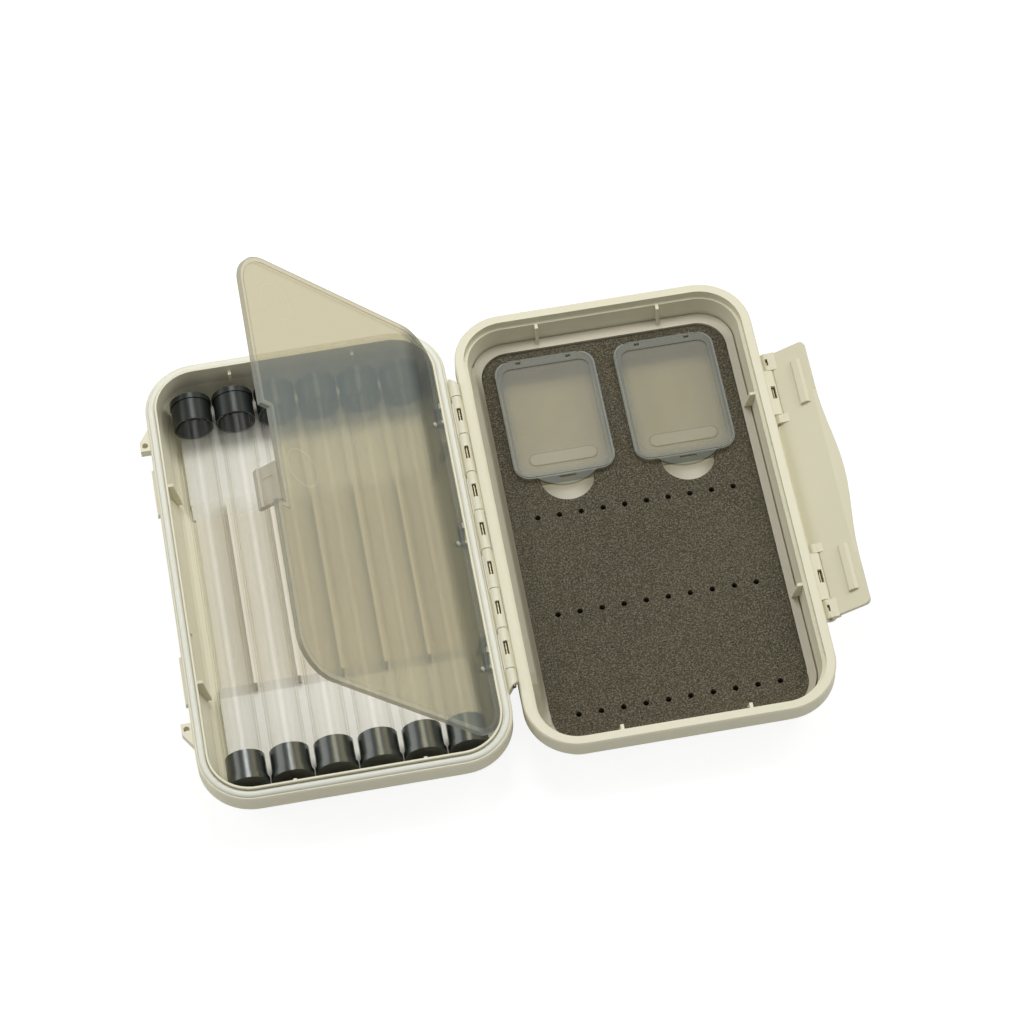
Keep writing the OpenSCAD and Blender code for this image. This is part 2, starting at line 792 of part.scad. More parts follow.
// Panel with its bead
module leaf_sheet() {
    translate([0, 0, leaf_lift])
        linear_extrude(leaf_t)
            leaf_outline(0);
    translate([0, 0, leaf_lift - bead_h / 2])
        linear_extrude(leaf_t + bead_h + bead_h / 2)
            difference() {
                leaf_outline(0);
                leaf_outline(bead_w);
            }
}

module leaf_knuckle() {
    rod_y(leaf_knuckle_r, -leaf_knuckle_l / 2, leaf_knuckle_l / 2);
    along_y(-leaf_knuckle_l / 2, leaf_knuckle_l / 2)
        polygon([
            [0, 0], [0, leaf_knuckle_r], [-leaf_notch_s - past, leaf_lift + leaf_t],
            [-leaf_notch_s - past, leaf_lift - bead_h / 2]
        ]);
}

// Snap clip that hangs from the notch in the leaf's free edge
module leaf_clip() {
    s0 = -leaf_reach + notch_d;
    lip = 2.4;
    lip_out_s = 0.6;
    groove_w = 0.6;
    groove_d = 0.4;
    groove_y = -clip_offset + clip_w / 6;
    color(smoke)
        leaf_place()
            difference() {
                clip_body(s0, lip, lip_out_s);
                along_y(groove_y - groove_w / 2, groove_y + groove_w / 2)
                    polygon([
                        [s0 - clip_t - past, leaf_lift - 1], [s0 - clip_t + groove_d, leaf_lift - 1],
                        [s0 - clip_lean + groove_d, leaf_lift - clip_h + lip + past],
                        [s0 - clip_lean - past, leaf_lift - clip_h + lip + past]
                    ]);
            }
}

module clip_body(s0, lip, lip_out_s) {
    along_y(-clip_offset - clip_w / 2, -clip_offset + clip_w / 2)
        polygon([
            [s0, leaf_lift + leaf_t], [s0 - clip_t, leaf_lift + leaf_t],
            [s0 - clip_lean, leaf_lift - clip_h + lip],
            [s0 - clip_lean - lip_out_s, leaf_lift - clip_h + lip - lip_out_s],
            [s0 - clip_lean, leaf_lift - clip_h], [s0 - clip_lean + clip_t, leaf_lift - clip_h],
            [s0, leaf_lift - 1.5]
        ]);
}

module leaf_pins() {
    reach = leaf_knuckle_l / 2 + knuckle_side_gap + ear_t;
    color(clear_plastic)
        for (i = [-1:1])
            translate([leaf_x, i * leaf_pivot_pitch, leaf_z])
                rod_y(leaf_pin_r, -reach, reach);
}

module tube(i) {
    color(clear_plastic)
        translate([tube_x(i), 0, tube_z])
            difference() {
                rod_y(tube_r, -tube_near, tube_far);
                rod_y(tube_r - tube_wall, -tube_near - past, tube_far + past);
            }
}

// Black closure that slides over a tube's end, drawn with its closed end at 0 and its
// open rim at l, both along +Y
module tube_closure(r, l) {
    difference() {
        union() {
            rod_y(r, 0, l);
            rod_y(flange_r, 0, flange_l);
        }
        rod_y(tube_r + tube_fit, cap_end_t, l + past);
    }
}

module stopper(i) {
    color(cap_black)
        translate([tube_x(i), stopper_end, tube_z])
            mirror([0, 1, 0])
                tube_closure(stopper_r, stopper_l);
}

module cap(i) {
    color(cap_black)
        translate([tube_x(i), -cap_end, tube_z])
            tube_closure(cap_r, cap_l);
}

// Block on the lid's free side that the latch turns on
module latch_block() {
    wall_x = lid_x + case_w / 2;
    slot_l = 4.6;
    mid = (block_start + block_end) / 2;
    difference() {
        along_y(block_start, block_end) {
            translate([latch_x, latch_z])
                circle(latch_barrel_r);
            polygon([
                [wall_x - weld, latch_z - latch_barrel_r - 0.8], [latch_x, latch_z - latch_barrel_r],
                [latch_x, latch_z + latch_barrel_r], [wall_x - weld, latch_z + latch_barrel_r]
            ]);
        }
        translate([latch_x, 0, latch_z])
            rod_y(latch_pin_r, block_start - past, block_end + past);
        translate([latch_x - window_w / 2, mid - slot_l / 2, latch_z])
            cube([window_w, slot_l, latch_barrel_r + past]);
    }
}

module lid_shell() {
    color(cream)
        union() {
            translate([lid_x, 0, 0]) {
                sweep_round(case_w, case_l, corner_r)
                    lid_profile();
                floor_plate();
                wall_ribs(lid_inset, ledge_z + 0.1, half_h - lid_step);
            }
            translate([2 * hinge_x, 0, 0])
                mirror([1, 0, 0])
                    for (i = [0:2:knuckle_count - 1])
                        knuckle(knuckle_y(i), pin_r + pin_gap);
            for (side = [0, 1])
                mirror([0, side, 0])
                    latch_block();
        }
}

module pocket(z0, z1) {
    rounded_slab(foam_w + 2 * foam_gap, foam_l + 2 * foam_gap, foam_r + foam_gap, z0, z1);
}

// Insert with a flat ledge round a pocket for the foam
module foam_tray() {
    top_w = case_w - 2 * ledge_inset;
    top_l = case_l - 2 * ledge_inset;
    cup_w = foam_w + 2 * foam_gap + 2 * tray_t;
    cup_l = foam_l + 2 * foam_gap + 2 * tray_t;
    foot_w = foam_w - 4.4;
    foot_l = foam_l - 2.4;
    foot_r = foam_r - 3;
    color(cream)
        translate([lid_x, 0, 0])
            difference() {
                union() {
                    edge_bead();
                    rounded_slab(top_w, top_l, corner_r - ledge_inset, ledge_z - tray_t, ledge_z);
                    rounded_slab(cup_w, cup_l, foam_r + foam_gap + tray_t, tray_under_z, ledge_z - weld);
                    rounded_slab(foot_w, foot_l, foot_r, floor_t, tray_floor_z - weld);
                }
                pocket(tray_floor_z, half_h);
                rounded_slab(
                    foot_w - 2 * tray_t, foot_l - 2 * tray_t, foot_r - tray_t, 0, tray_under_z
                );
                for (side = [-1, 1])
                    translate([side * comp_x, comp_y, 0])
                        box_hole();
            }
}

// Fine bead along the foam's hinge side, with two small bumps outside it
module edge_bead() {
    bead_t = 0.35;
    bead_near = foam_l / 2 - foam_r + 0.6;
    bead_far = foam_l / 2 - foam_r - 2.4;
    bump_r = 0.45;
    bump_sink = 0.2;
    edge = -foam_w / 2 - foam_gap;
    translate([edge - bead_t, -bead_near, ledge_z - weld / 2])
        cube([bead_t + weld, bead_far + bead_near, weld / 2 + bead_rise]);
    for (y = [-bead_near * 0.62, bead_far * 0.52])
        translate([edge - bead_t - bump_r + bump_sink, y, ledge_z - weld / 2])
            cylinder(r = bump_r, h = weld / 2 + bead_rise);
}

// Hole that a compartment's box stands in
module box_hole() {
    box_w = comp_w - 2 * comp_over + 4 * foam_gap;
    box_l = comp_l - 2 * comp_over + 4 * foam_gap;
    rounded_slab(box_w, box_l, comp_r - comp_over + foam_gap, 0, half_h);
}

module foam_cut(side) {
    translate([side * comp_x, comp_y, 0])
        box_hole();
    translate([side * comp_x, comp_y - comp_l / 2, 0])
        cylinder(r = finger_r, h = half_h);
}

module foam_pad() {
    color(foam_grey)
        translate([lid_x, 0, 0])
            difference() {
                rounded_slab(foam_w, foam_l, foam_r, tray_floor_z, foam_z);
                foam_cut(-1);
                foam_cut(1);
                for (row = [0:hole_rows - 1])
                    for (k = [0:holes_per_row - 1])
                        translate([
                            (k - (holes_per_row - 1) / 2) * hole_pitch,
                            -foam_l / 2 + row_edge + row * row_pitch,
                            foam_z - hook_hole_d
                        ])
                            cylinder(r = hook_hole_r, h = hook_hole_d + past);
            }
}

module comp_place(side) {
    translate([lid_x + side * comp_x, comp_y, 0])
        children();
}

// Clear box, open at the top, with two hinge ears at its far side
module compartment_box(side) {
    w = comp_w - 2 * comp_over;
    l = comp_l - 2 * comp_over;
    r = comp_r - comp_over;
    axis_y = comp_axis_y - comp_y;
    color(clear_plastic)
        comp_place(side)
            difference() {
                union() {
                    rounded_slab(w, l, r, floor_t, comp_rim_z);
                    for (x = [-comp_ear_x, comp_ear_x])
                        translate([x, axis_y, comp_axis_z])
                            comp_ear();
                }
                rounded_slab(
                    w - 2 * comp_wall, l - 2 * comp_wall, r - comp_wall,
                    floor_t + comp_floor, half_h
                );
                for (x = [-comp_ear_x, comp_ear_x])
                    translate([x - comp_ear_w, axis_y, comp_axis_z])
                        rotate([0, 90, 0])
                            cylinder(r = trunnion_r + tube_fit, h = 2 * comp_ear_w);
            }
}

module comp_ear() {
    drop = comp_axis_z - foam_z - foam_gap;
    translate([-comp_ear_w / 2, 0, 0])
        rotate([0, 90, 0])
            cylinder(r = comp_ear_r, h = comp_ear_w);
    translate([-comp_ear_w / 2, -comp_ear_r, -drop])
        cube([comp_ear_w, 2 * comp_ear_r, drop]);
}

// Outline of the pull tab: a flat arc past the lid's near edge
module pull_tab() {
    arc_r = (tab_w * tab_w / 4 + tab_l * tab_l) / (2 * tab_l);
    intersection() {
        translate([0, arc_r - tab_l])
            circle(arc_r);
        translate([-tab_w / 2, -tab_l])
            square([tab_w, tab_l + weld]);
    }
}

// Frosted lid with a sunk panel, a raised oval, a pull tab and trunnions at its far edge
module compartment_lid(side) {
    edge_r = comp_lid_t / 2;
    far_y = comp_l / 2 - edge_r;
    straight = comp_w - 2 * comp_r;
    color(smoke)
        comp_place(side)
            difference() {
                union() {
                    difference() {
                        union() {
                            rounded_slab(comp_w, comp_l, comp_r, comp_lid_z, comp_top_z - comp_step);
                            rounded_slab(
                                comp_w - 2 * comp_step, comp_l - 2 * comp_step, comp_r - comp_step,
                                comp_lid_z, comp_top_z
                            );
                        }
                        rounded_slab(
                            comp_w - 2 * comp_border, comp_l - 2 * comp_border - 2 * comp_lid_t,
                            comp_r - comp_border, comp_top_z - comp_sink, comp_top_z + past
                        );
                        translate([-comp_w / 2, far_y, comp_lid_z - past])
                            cube([comp_w, comp_l, comp_lid_t + 2 * past]);
                    }
                    translate([-straight / 2, far_y, comp_axis_z])
                        rotate([0, 90, 0])
                            cylinder(r = edge_r, h = straight);
                    translate([0, -comp_l / 2, comp_lid_z])
                        linear_extrude(comp_lid_t - comp_sink)
                            pull_tab();
                    translate([0, -comp_l / 2 + oval_edge, comp_top_z - comp_sink - weld])
                        linear_extrude(oval_h + weld)
                            rounded_rect(oval_l, oval_w, oval_w / 2 - 0.01);
                }
                for (x = [-comp_ear_x, comp_ear_x])
                    translate([x - comp_ear_w / 2 - knuckle_side_gap, far_y - 2 * comp_ear_r, 0])
                        cube([comp_ear_w + 2 * knuckle_side_gap, 4 * comp_ear_r, half_h]);
                translate([-tab_slot_l / 2, -comp_l / 2 - tab_slot_w - tab_slot_edge, 0])
                    cube([tab_slot_l, tab_slot_w, half_h]);
            }
    color(smoke)
        comp_place(side)
            for (x = [-comp_ear_x, comp_ear_x])
                translate([x - comp_ear_w, far_y, comp_axis_z])
                    rotate([0, 90, 0])
                        cylinder(r = trunnion_r, h = 2 * comp_ear_w);
}

// The latch is drawn closed, upright on its pivot, then swung open to its rest
module latch_place() {
    translate([latch_x, 0, latch_z])
        rotate([0, latch_rest, 0])
            children();
}

// Outline of the plate, with s up from the pivot and the thumb edge swelling in the middle
module latch_outline() {
    half = plate_half;
    reach = latch_reach;
    middle = block_start - inner_knuckle - 0.5;
    difference() {
        latch_blank(half, reach);
        for (side = [0, 1])
            mirror([side, 0])
                translate([block_start - knuckle_side_gap, -past])
                    square([block_end - block_start + 2 * knuckle_side_gap, past + latch_cut]);
    }
    translate([-middle, -latch_tail])
        square([2 * middle, latch_tail + weld]);
}

module latch_blank(half, reach) {
    polygon(concat(
        [[-half, 0]],
        arc_points(-half + latch_corner, reach - latch_corner, latch_corner, 180, 90),
        [for (i = [0:12])
            let (t = -1 + i / 6)
            [t * thumb_half, reach + thumb_bulge * pow(cos(90 * t), 2)]],
        arc_points(half - latch_corner, reach - latch_corner, latch_corner, 90, 0),
        [[half, 0]]
    ));
}

module latch_knuckle(y0, y1) {
    outer = latch_face + latch_t;
    lean = latch_barrel_r * 0.7;
    along_y(y0, y1) {
        circle(latch_barrel_r);
        polygon([
            [-lean, lean], [latch_face, 2 * latch_barrel_r], [outer, 2 * latch_barrel_r],
            [outer, weld]
        ]);
    }
}

// Small slot that shows the pin in an end knuckle
module latch_slot() {
    slot_w = 0.8;
    slot_l = 2.4;
    translate([0, (block_end + latch_l / 2 - slot_l) / 2, 0])
        rotate([0, -latch_rest, 0])
            translate([-slot_w / 2, 0, 0])
                cube([slot_w, slot_l, latch_barrel_r + past]);
}

// Slanted cut that thins the thumb edge
module thumb_cut() {
    s1 = latch_reach + thumb_bulge;
    along_y(-thumb_half, thumb_half)
        polygon([
            [latch_face - past, s1 - thumb_bevel], [latch_face, s1 - thumb_bevel],
            [latch_face + thumb_bevel_d, s1 + weld], [latch_face - past, s1 + weld]
        ]);
}

// Raised bar that hooks behind a catch ridge
module hook_bar(y0, y1) {
    along_y(y0, y1)
        polygon([
            [latch_face + weld, bar_s], [-bar_top + 0.5, bar_s], [-bar_top, bar_s + 0.5],
            [-bar_top, bar_s + bar_w - 0.9], [-bar_top + 0.9, bar_s + bar_w],
            [latch_face + weld, bar_s + bar_w]
        ]);
}

module latch_plate() {
    color(cream)
        latch_place()
            difference() {
                union() {
                    translate([latch_face, 0, 0])
                        rotate([90, 0, 90])
                            linear_extrude(latch_t)
                                latch_outline();
                    for (side = [0, 1])
                        mirror([0, side, 0]) {
                            latch_knuckle(block_end + knuckle_side_gap, latch_l / 2);
                            latch_knuckle(inner_start, inner_start + inner_knuckle);
                            hook_bar(bar_start, bar_start + bar_l);
                        }
                }
                thumb_cut();
                for (side = [0, 1])
                    mirror([0, side, 0]) {
                        rod_y(latch_pin_r + pin_gap, inner_start, latch_l / 2 + past);
                        latch_slot();
                    }
            }
}

module latch_pin(side) {
    y0 = inner_start + past;
    y1 = latch_l / 2 - past;
    color(steel)
        mirror([0, side > 0 ? 0 : 1, 0])
            translate([latch_x, 0, latch_z])
                rod_y(latch_pin_r, y0, y1);
}

base_shell();
rim_seal();
hinge_pin();
rest_pad(1);  // rest_pad_far
rest_pad(-1);  // rest_pad_near
tube_divider();
leaf_panel();
leaf_clip();
leaf_pins();
tube(1);  // tube_1
tube(2);  // tube_2
tube(3);  // tube_3
tube(4);  // tube_4
tube(5);  // tube_5
tube(6);  // tube_6
stopper(1);  // stopper_1
stopper(2);  // stopper_2
stopper(3);  // stopper_3
stopper(4);  // stopper_4
stopper(5);  // stopper_5
stopper(6);  // stopper_6
cap(1);  // cap_1
cap(2);  // cap_2
cap(3);  // cap_3
cap(4);  // cap_4
cap(5);  // cap_5
cap(6);  // cap_6
lid_shell();
foam_tray();
foam_pad();
compartment_box(-1);  // compartment_box_left
compartment_box(1);  // compartment_box_right
compartment_lid(-1);  // compartment_lid_left
compartment_lid(1);  // compartment_lid_right
latch_plate();
latch_pin(1);  // latch_pin_far
latch_pin(-1);  // latch_pin_near
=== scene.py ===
"""Looks for the open fly box: materials, small forms on the bodies, floor, light and camera."""

import math

import bmesh
import bpy
from mathutils import Matrix, Vector


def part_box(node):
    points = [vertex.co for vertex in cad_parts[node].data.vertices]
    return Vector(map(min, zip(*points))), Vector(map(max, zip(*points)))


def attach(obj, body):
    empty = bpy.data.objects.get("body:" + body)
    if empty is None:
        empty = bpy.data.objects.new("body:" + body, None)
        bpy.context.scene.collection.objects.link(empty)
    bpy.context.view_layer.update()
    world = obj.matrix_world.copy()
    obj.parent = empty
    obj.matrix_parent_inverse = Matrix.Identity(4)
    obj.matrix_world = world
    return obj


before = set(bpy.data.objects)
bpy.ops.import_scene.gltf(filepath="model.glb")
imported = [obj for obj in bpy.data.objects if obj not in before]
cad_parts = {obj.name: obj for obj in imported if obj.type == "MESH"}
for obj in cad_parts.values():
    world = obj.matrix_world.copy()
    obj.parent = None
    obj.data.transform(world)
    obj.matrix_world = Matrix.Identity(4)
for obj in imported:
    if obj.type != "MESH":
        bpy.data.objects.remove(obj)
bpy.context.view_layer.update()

# Sizes of the solids, in metres

# The leaf's axis in x and z, its angle at rest and its three pivots along y
LEAF_PIVOT = (0.04255, 0.0185)
LEAF_REST = math.radians(49.6)
LEAF_STATIONS = (-0.044, 0.0, 0.044)
FOAM_CORNER = 0.009
FOAM_LOW, FOAM_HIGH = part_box("foam_pad")

# Grain of moulded plastic, and the roughness of its lows and highs

GRAIN_SCALE, GRAIN_DEPTH = 900.0, 0.00003
CASE_ROUGH = (0.37, 0.48)

# Node helpers


class Nodes:
    """Builds one node material. Sockets are found by name."""

    def __init__(self, name):
        self.mat = bpy.data.materials.new(name)
        self.mat.use_nodes = True
        self.tree = self.mat.node_tree
        self.tree.nodes.clear()
        self.out = self.tree.nodes.new("ShaderNodeOutputMaterial")

    def add(self, kind, **inputs):
        node = self.tree.nodes.new("ShaderNode" + kind)
        for key, value in inputs.items():
            self.put(node, key.replace("_", " "), value)
        return node

    def put(self, node, key, value):
        socket = node.inputs[key]
        if isinstance(value, bpy.types.NodeSocket):
            self.tree.links.new(value, socket)
        elif isinstance(value, (tuple, list)) and len(value) == 3 and socket.type == "RGBA":
            socket.default_value = (*value, 1.0)
        else:
            socket.default_value = value

    def coord(self):
        return self.add("TexCoord").outputs["Object"]

    def stretched(self, x, y, z):
        """Object coordinates scaled on each axis, for streaks along a piece."""
        node = self.add("Mapping", Vector=self.coord())
        node.inputs["Scale"].default_value = (x, y, z)
        return node.outputs[0]

    def axis(self, place):
        return self.add("SeparateXYZ", Vector=self.coord()).outputs[place]

    def depth(self, u, v, low, high, radius):
        """Distance inside a round-cornered rectangle in two coordinates, less than 0 outside."""
        past_straight = []
        for place, axis in ((u, 0), (v, 1)):
            middle = (low[axis] + high[axis]) / 2
            half = (high[axis] - low[axis]) / 2
            off = self.math("ABSOLUTE", self.math("SUBTRACT", place, middle))
            past_straight.append(self.math("SUBTRACT", off, half - radius))
        x, y = past_straight
        corner = self.length(self.math("MAXIMUM", x, 0.0), self.math("MAXIMUM", y, 0.0))
        flat = self.math("MINIMUM", self.math("MAXIMUM", x, y), 0.0)
        return self.math("SUBTRACT", radius, self.math("ADD", corner, flat))

    def length(self, x, y):
        squares = [self.math("MULTIPLY", part, part) for part in (x, y)]
        return self.math("SQRT", self.math("ADD", *squares))

    def line(self, value, middle, width):
        """1 where a value is near the middle, falling to 0 at width to either side."""
        off = self.math("ABSOLUTE", self.math("SUBTRACT", value, middle))
        return self.span(off, width * 0.4, width, 1.0, 0.0)

    def math(self, operation, *values):
        node = self.tree.nodes.new("ShaderNodeMath")
        node.operation = operation
        for place, value in enumerate(values):
            self.put(node, place, value)
        return node.outputs[0]

    def noise(self, scale, detail=2.0, rough=0.5, vector=None):
        node = self.add("TexNoise", Vector=vector or self.coord())
        node.inputs["Scale"].default_value = scale
        node.inputs["Detail"].default_value = detail
        node.inputs["Roughness"].default_value = rough
        return node.outputs["Fac"]

    def span(self, value, low, high, to_low=0.0, to_high=1.0):
        """A value from low to high, mapped to to_low to to_high and kept between them."""
        node = self.add("MapRange", Value=value)
        ends = {"From Min": low, "From Max": high, "To Min": to_low, "To Max": to_high}
        for key, number in ends.items():
            node.inputs[key].default_value = number
        return node.outputs[0]

    def cloud(self, shade, color, scale=14.0, detail=3.0):
        """Large soft patches of two near tones."""
        return self.blend(self.span(self.noise(scale, detail), 0.35, 0.65), shade, color)

    def blend(self, fac, a, b):
        node = self.tree.nodes.new("ShaderNodeMix")
        node.data_type = "RGBA"
        self.put(node, 0, fac)
        self.put(node, 6, a if isinstance(a, bpy.types.NodeSocket) else (*a, 1.0))
        self.put(node, 7, b if isinstance(b, bpy.types.NodeSocket) else (*b, 1.0))
        return node.outputs[2]

    def bump(self, height, strength, distance):
        node = self.add("Bump", Height=height)
        node.inputs["Strength"].default_value = strength
        node.inputs["Distance"].default_value = distance
        return node.outputs[0]

    def mix_shader(self, fac, a, b):
        node = self.tree.nodes.new("ShaderNodeMixShader")
        self.put(node, 0, fac)
        self.tree.links.new(a, node.inputs[1])
        self.tree.links.new(b, node.inputs[2])
        return node.outputs[0]

    def finish(self, shader):
        self.tree.links.new(shader, self.out.inputs["Surface"])
        return self.mat


def moulded(n, tone, rough, relief=0.35, shine=0.4):
    """Finishes an opaque plastic: a tone under a fine spark-eroded grain."""
    fine = n.noise(GRAIN_SCALE, 2.0, 0.6)
    body = n.add("BsdfPrincipled", Base_Color=tone)
    n.put(body, "Roughness", n.span(fine, 0.3, 0.7, *rough))
    n.put(body, "Normal", n.bump(fine, relief, GRAIN_DEPTH))
    n.put(body, "Specular IOR Level", shine)
    return n.finish(body.outputs[0])


def plastic(name, color, shade, rough=CASE_ROUGH):
    """Moulded plastic of one faintly cloudy colour."""
    n = Nodes(name)
    return moulded(n, n.cloud(shade, color), rough)


def base_cream(name, color, shade):
    """The case's cream, with a smokier tone on the small ears that carry the leaf."""
    n = Nodes(name)
    ear_tone, ear_half, fade = (0.36, 0.355, 0.295), 0.0042, 0.0004
    tip_fade, wall_fade, floor_fade = (0.0405, 0.041), (0.0435, 0.0437), (0.0155, 0.016)
    beside = 0.0
    for station in LEAF_STATIONS:
        away = n.math("ABSOLUTE", n.math("SUBTRACT", n.axis(1), station))
        beside = n.math("MAXIMUM", beside, n.span(away, ear_half, ear_half + fade, 1.0, 0.0))
    across = n.math("MULTIPLY", n.span(n.axis(0), *tip_fade),
                    n.span(n.axis(0), *wall_fade, 1.0, 0.0))
    ear = n.math("MULTIPLY", beside, across)
    ear = n.math("MULTIPLY", ear, n.span(n.axis(2), *floor_fade))
    return moulded(n, n.blend(ear, n.cloud(shade, color), ear_tone), CASE_ROUGH)


def front_only(n, front, back_tint):
    """Finishes a thin sheet that is drawn once: its back faces let everything through."""
    open_back = n.add("BsdfTransparent", Color=(back_tint, back_tint, back_tint))
    back = n.add("NewGeometry").outputs["Backfacing"]
    return n.finish(n.mix_shader(back, front, open_back.outputs[0]))


def thin_sheet(n, through, milky, cover):
    """Finishes a thin see-through plastic, part clear and part milky."""
    haze_scale, grain_scale, grain_depth = 60.0, 700.0, 0.00002
    grazing_cover, most_cover = 0.35, 0.95
    milk = n.add("BsdfPrincipled", Base_Color=milky)
    n.put(milk, "Roughness", n.span(n.noise(haze_scale), 0.3, 0.7, 0.31, 0.4))
    n.put(milk, "Normal", n.bump(n.noise(grain_scale), 0.2, grain_depth))
    n.put(milk, "Specular IOR Level", 0.5)
    clear = n.add("BsdfTransparent", Color=through)
    rim = n.add("LayerWeight")
    rim.inputs["Blend"].default_value = 0.3
    grazing = n.span(rim.outputs["Facing"], 0.35, 1.0, 0.0, grazing_cover)
    amount = n.math("MINIMUM", n.math("ADD", grazing, cover), most_cover)
    return front_only(n, n.mix_shader(amount, clear.outputs[0], milk.outputs[0]), 0.99)


def frosted(name, through, milky, cover):
    """Thin see-through plastic of one tone."""
    return thin_sheet(Nodes(name), through, milky, cover)


def leaf_look(name):
    """Smoky sheet: a grey outline and a line along the bead in painted shade, two faint round
    marks.

    Distances run along the sheet: out from the pivot, and along it. Close to the hinge the sheet
    is darker with painted shade, the shade of the wall beneath it.
    """
    n = Nodes(name)
    low, high, corner = (0.0006, -0.073), (0.0857, 0.073), 0.012
    notch_low, notch_high = (0.082, -0.0165), (0.094, 0.0165)
    bead, marks, mark_r = 0.0016, ((0.071, 0.0587), (0.0714, -0.0009)), 0.0062
    middle_tone, bead_tone, edge_shade_tone = (0.525, 0.60, 0.56), (0.64, 0.68, 0.61), (0.3, 0.32, 0.27)
    through_tone, hinge_shade_through = (0.63, 0.532, 0.325), (0.34, 0.31, 0.21)
    hinge_shade_tone, hinge_shade_fade = (0.23, 0.265, 0.26), (0.008, 0.0135)
    middle_cover, bead_cover, edge_shade_cover, mark_cover = 0.3, 0.38, 0.27, 0.06
    across = n.math("SUBTRACT", LEAF_PIVOT[0], n.axis(0))
    across = n.math("MULTIPLY", across, math.cos(LEAF_REST))
    rise = n.math("SUBTRACT", n.axis(2), LEAF_PIVOT[1])
    rise = n.math("MULTIPLY", rise, math.sin(LEAF_REST))
    out, along = n.math("ADD", across, rise), n.axis(1)
    notch = n.math("MULTIPLY", n.depth(out, along, notch_low, notch_high, 0.0), -1.0)
    depth = n.math("MINIMUM", n.depth(out, along, low, high, corner), notch)
    # painted shade: grey lines at the sheet's edge and at the bead's step
    outline = n.span(depth, 0.0002, 0.0005, 1.0, 0.0)
    band = n.span(depth, bead, bead + 0.0002, 1.0, 0.0)
    step = n.line(depth, bead + 0.0002, 0.0004)
    grey = n.math("MAXIMUM", outline, n.math("MULTIPLY", step, 0.45))
    faint = 0.0
    for mark in marks:
        gap = n.length(n.math("SUBTRACT", out, mark[0]), n.math("SUBTRACT", along, mark[1]))
        faint = n.math("MAXIMUM", faint, n.line(gap, mark_r, 0.0005))
    milky = n.blend(grey, n.blend(band, middle_tone, bead_tone), edge_shade_tone)
    cover = n.math("ADD", n.math("MULTIPLY", grey, edge_shade_cover),
                   n.span(band, 0.0, 1.0, middle_cover, bead_cover))
    cover = n.math("ADD", cover, n.math("MULTIPLY", faint, mark_cover))
    # painted shade: the sheet darker near the hinge, for the shadowed wall beneath it
    shade = n.span(out, *hinge_shade_fade, 1.0, 0.0)
    milky = n.blend(shade, milky, hinge_shade_tone)
    through = n.blend(shade, through_tone, hinge_shade_through)
    return thin_sheet(n, through, milky, cover)


def clear_tube(name):
    """Clear tube: fine streaks along it, soft gloss where it turns away, the rest see-through."""
    n = Nodes(name)
    middle_tint, edge_tint = (0.975, 0.975, 0.96), (0.74, 0.735, 0.68)
    haze_range, shine_range, shine_rough = (0.02, 0.08), (0.01, 0.15), 0.24
    streak = n.noise(1.0, 3.0, 0.6, n.stretched(900.0, 6.0, 900.0))
    turned = n.add("LayerWeight").outputs["Facing"]
    tint = n.blend(n.span(turned, 0.5, 0.95), middle_tint, edge_tint)
    through = n.add("BsdfTransparent", Color=tint)
    haze = n.add("BsdfDiffuse", Color=(0.86, 0.85, 0.79))
    gloss = n.add("BsdfGlossy", Color=(0.9, 0.9, 0.9))
    gloss.inputs["Roughness"].default_value = shine_rough
    edge = n.add("LayerWeight")
    edge.inputs["Blend"].default_value = 0.25
    hazy = n.span(streak, 0.45, 0.7, *haze_range)
    body = n.mix_shader(hazy, through.outputs[0], haze.outputs[0])
    shine = n.span(edge.outputs["Fresnel"], 0.0, 1.0, *shine_range)
    return front_only(n, n.mix_shader(shine, body, gloss.outputs[0]), 0.995)


def foam(name):
    """Closed-cell foam: dark, matt and speckled with open cells."""
    n = Nodes(name)
    dark, light = (0.068, 0.060, 0.036), (0.086, 0.076, 0.047)
    bright_cell, deep_cell = (0.19, 0.17, 0.13), (0.03, 0.025, 0.018)
    cell_scale, cell_depth, speck_scale = 2200.0, 0.0003, 2000.0
    cell = n.add("TexVoronoi", Vector=n.coord())
    cell.inputs["Scale"].default_value = cell_scale
    speck = n.noise(speck_scale, 2.0, 0.65)
    base = n.blend(n.span(n.noise(25.0, 2.0), 0.3, 0.7), dark, light)
    tone = n.blend(n.span(speck, 0.5, 0.66), base, bright_cell)
    tone = n.blend(n.span(speck, 0.44, 0.3), tone, deep_cell)
    body = n.add("BsdfPrincipled", Base_Color=tone)
    n.put(body, "Roughness", 0.95)
    n.put(body, "Specular IOR Level", 0.15)
    n.put(body, "Normal", n.bump(cell.outputs["Distance"], 0.5, cell_depth))
    return n.finish(body.outputs[0])


